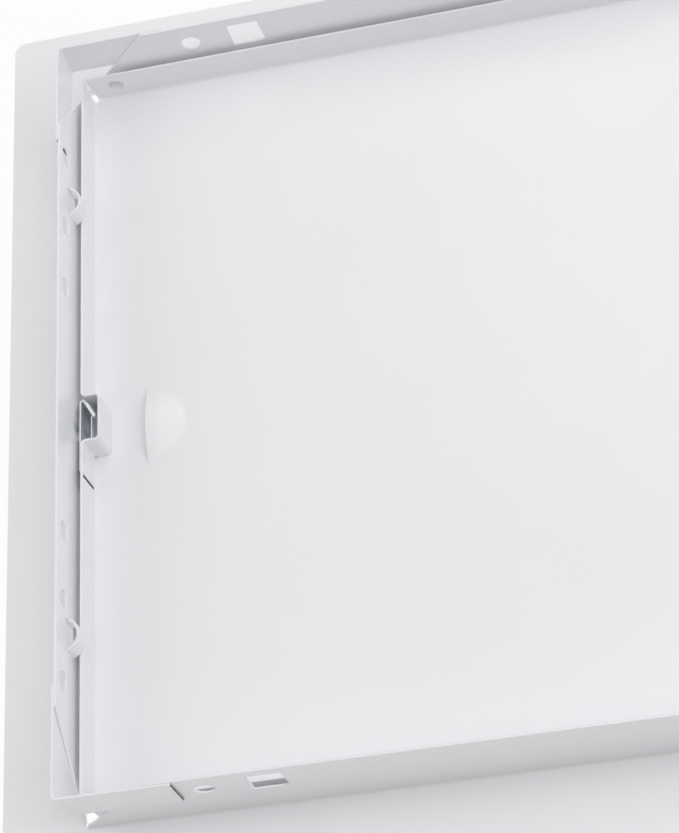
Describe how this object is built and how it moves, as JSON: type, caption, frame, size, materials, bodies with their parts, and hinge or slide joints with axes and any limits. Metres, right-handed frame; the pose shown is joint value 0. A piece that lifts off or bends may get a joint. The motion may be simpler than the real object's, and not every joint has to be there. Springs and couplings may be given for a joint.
{
  "type": "ceiling access panel",
  "caption": "Square flanged sheet-steel access panel with a hinged door pan, a spring latch, a half-moon finger recess and walls pierced for fixing screws.",
  "frame": {"origin": "middle of the flange's front face, on the plane that the panel lies on face down", "axes": "+Z away from the room, towards the rear edge of the frame; +X from the latch side to the hinge side; +Y from the bottom wall to the top wall"},
  "size_m": [0.3, 0.3, 0.028],
  "materials": {
    "white_coat": "gloss",
    "zinc_steel": "satin",
    "nylon": "matte"
  },
  "bodies": {
    "frame": {"frame": "white_coat", "corner_bracket_top_left": "white_coat", "corner_bracket_top_right": "white_coat", "corner_bracket_bottom_left": "white_coat", "corner_bracket_bottom_right": "white_coat", "hinge_pin_top": "zinc_steel", "hinge_pin_bottom": "zinc_steel", "hinge_washer_top": "nylon", "hinge_washer_bottom": "nylon"},
    "door": {"door_pan": "white_coat"},
    "latch": {"latch_leaf": "zinc_steel"}
  },
  "joints": [
    {"name": "door_hinge", "type": "hinge", "parent": "frame", "child": "door", "pos_m": [0.1128, 0, 0.0077], "axis": [0, -1, 0], "range_deg": [0, 110]},
    {"name": "latch_flex", "type": "hinge", "parent": "door", "child": "latch", "pos_m": [-0.12285, -0.009, 0.00765], "axis": [0, 0, -1], "range_deg": [0, 4.6], "stiffness_Nm_per_rad": 0.5}
  ]
}
